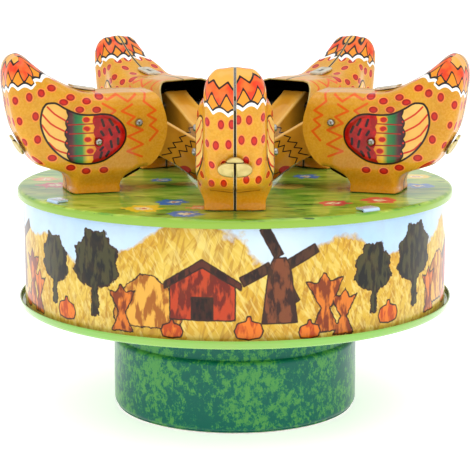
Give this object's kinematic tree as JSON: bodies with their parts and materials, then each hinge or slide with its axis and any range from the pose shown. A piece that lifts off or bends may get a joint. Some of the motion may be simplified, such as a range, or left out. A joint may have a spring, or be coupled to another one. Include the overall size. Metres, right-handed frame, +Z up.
{
  "type": "wind-up pecking hens toy",
  "caption": "Tin wind-up carousel toy: hens stand on a turning drum facing its middle and peck at a printed meadow; spring motor and key in the round base.",
  "frame": {"origin": "on the floor, in the middle of the base's underside, on the spindle's axis", "axes": "+Z up along the spindle; hen 1 stands on the -Y side with its tail to -Y"},
  "size_m": [0.1456, 0.1452, 0.1162],
  "materials": {
    "meadow_tin": "lithographed tin, glossy, meadow green",
    "picture_tin": "lithographed tin, glossy, straw and sky",
    "lime_tin": "glossy lime-green tin",
    "sponged_tin": "glossy tin, sponged dark and light green",
    "hen_tin": "lithographed tin, glossy, golden with red dots",
    "head_tin": "lithographed tin, glossy, golden brown",
    "bare_tin": "lacquered bare tinplate",
    "rivet_steel": "nickel-plated rivet",
    "wire_steel": "drawn wire",
    "spring_steel": "blued spring steel",
    "motor_steel": "pressed steel",
    "wheel_brass": "cut brass",
    "key_steel": "nickel-plated steel"
  },
  "bodies": {
    "base": {"base_can": "sponged_tin", "floor_plate": "motor_steel", "spindle": "motor_steel", "peck_cam": "motor_steel", "front_motor_plate": "motor_steel", "rear_motor_plate": "motor_steel", "motor_pillar_1": "motor_steel", "motor_pillar_2": "motor_steel", "mainspring": "spring_steel"},
    "drum": {"top_plate": "meadow_tin", "drum_wall": "picture_tin", "bottom_plate": "lime_tin", "drum_bush": "wheel_brass", "crown_gear": "wheel_brass", "lifter_spring": "spring_steel", "hen_1_left_half": "hen_tin", "hen_1_right_half": "hen_tin", "hen_1_neck_rivet": "rivet_steel", "hen_1_wing_rivet": "rivet_steel", "hen_1_rear_clip": "bare_tin", "hen_2_left_half": "hen_tin", "hen_2_right_half": "hen_tin", "hen_2_neck_rivet": "rivet_steel", "hen_2_wing_rivet": "rivet_steel", "hen_2_rear_clip": "bare_tin", "hen_3_left_half": "hen_tin", "hen_3_right_half": "hen_tin", "hen_3_neck_rivet": "rivet_steel", "hen_3_wing_rivet": "rivet_steel", "hen_3_rear_clip": "bare_tin", "hen_4_left_half": "hen_tin", "hen_4_right_half": "hen_tin", "hen_4_neck_rivet": "rivet_steel", "hen_4_wing_rivet": "rivet_steel", "hen_4_rear_clip": "bare_tin", "hen_5_left_half": "hen_tin", "hen_5_right_half": "hen_tin", "hen_5_neck_rivet": "rivet_steel", "hen_5_wing_rivet": "rivet_steel", "hen_5_rear_clip": "bare_tin"},
    "lifter": {"lifter_spider": "bare_tin", "follower_peg": "motor_steel", "hen_1_lift_wire": "wire_steel", "hen_2_lift_wire": "wire_steel", "hen_3_lift_wire": "wire_steel", "hen_4_lift_wire": "wire_steel", "hen_5_lift_wire": "wire_steel"},
    "winding_arbor": {"winding_arbor": "motor_steel", "ratchet_wheel": "motor_steel", "key": "key_steel"},
    "great_wheel": {"great_wheel": "wheel_brass"},
    "click": {"click": "motor_steel"},
    "output_pinion": {"output_pinion": "wheel_brass"},
    "second_wheel": {"second_wheel": "wheel_brass"},
    "governor_fly": {"governor_fly": "motor_steel"},
    "hen_1_head": {"hen_1_head": "head_tin"},
    "hen_2_head": {"hen_2_head": "head_tin"},
    "hen_3_head": {"hen_3_head": "head_tin"},
    "hen_4_head": {"hen_4_head": "head_tin"},
    "hen_5_head": {"hen_5_head": "head_tin"}
  },
  "joints": [
    {"name": "drum_turn", "type": "hinge", "parent": "base", "child": "drum", "pos_m": [0, 0, 0.05], "axis": [0, 0, 1], "continuous": true},
    {"name": "lifter_slide", "type": "slide", "parent": "drum", "child": "lifter", "axis": [0, 0, 1], "range_m": [-0.00487, 0]},
    {"name": "winding_turn", "type": "hinge", "parent": "great_wheel", "child": "winding_arbor", "pos_m": [-0.01151, 0.03, 0.01588], "axis": [0, 1, 0], "continuous": true},
    {"name": "great_wheel_turn", "type": "hinge", "parent": "base", "child": "great_wheel", "pos_m": [-0.01151, 0.0111, 0.01588], "axis": [0, 1, 0], "continuous": true},
    {"name": "click_lift", "type": "hinge", "parent": "great_wheel", "child": "click", "pos_m": [-0.00506, 0.0129, 0.01186], "axis": [0, 1, 0], "range_deg": [0, 12]},
    {"name": "output_pinion_turn", "type": "hinge", "parent": "base", "child": "output_pinion", "pos_m": [0, 0.016, 0.027], "axis": [0, 1, 0], "continuous": true},
    {"name": "second_wheel_turn", "type": "hinge", "parent": "base", "child": "second_wheel", "pos_m": [0.0031, 0.016, 0.0117], "axis": [0, 1, 0], "continuous": true},
    {"name": "governor_turn", "type": "hinge", "parent": "base", "child": "governor_fly", "pos_m": [0.01523, 0.016, 0.01427], "axis": [0, 1, 0], "continuous": true},
    {"name": "hen_1_peck", "type": "hinge", "parent": "drum", "child": "hen_1_head", "pos_m": [0, -0.0349, 0.0947], "axis": [1, 0, 0], "range_deg": [0, 30]},
    {"name": "hen_2_peck", "type": "hinge", "parent": "drum", "child": "hen_2_head", "pos_m": [0.03319, -0.01078, 0.0947], "axis": [0.309, 0.9511, 0], "range_deg": [0, 30]},
    {"name": "hen_3_peck", "type": "hinge", "parent": "drum", "child": "hen_3_head", "pos_m": [0.02051, 0.02823, 0.0947], "axis": [-0.809, 0.5878, 0], "range_deg": [0, 30]},
    {"name": "hen_4_peck", "type": "hinge", "parent": "drum", "child": "hen_4_head", "pos_m": [-0.02051, 0.02823, 0.0947], "axis": [-0.809, -0.5878, 0], "range_deg": [0, 30]},
    {"name": "hen_5_peck", "type": "hinge", "parent": "drum", "child": "hen_5_head", "pos_m": [-0.03319, -0.01078, 0.0947], "axis": [0.309, -0.9511, 0], "range_deg": [0, 30]}
  ],
  "couplings": [
    {"joint": "output_pinion_turn", "follows": "drum_turn", "ratio": -4.5},
    {"joint": "great_wheel_turn", "follows": "drum_turn", "ratio": 1.5},
    {"joint": "second_wheel_turn", "follows": "drum_turn", "ratio": -5.625},
    {"joint": "governor_turn", "follows": "drum_turn", "ratio": 22.5},
    {"joint": "hen_1_peck", "follows": "lifter_slide", "rad_per_m": -107.37},
    {"joint": "hen_2_peck", "follows": "lifter_slide", "rad_per_m": -107.37},
    {"joint": "hen_3_peck", "follows": "lifter_slide", "rad_per_m": -107.37},
    {"joint": "hen_4_peck", "follows": "lifter_slide", "rad_per_m": -107.37},
    {"joint": "hen_5_peck", "follows": "lifter_slide", "rad_per_m": -107.37}
  ]
}
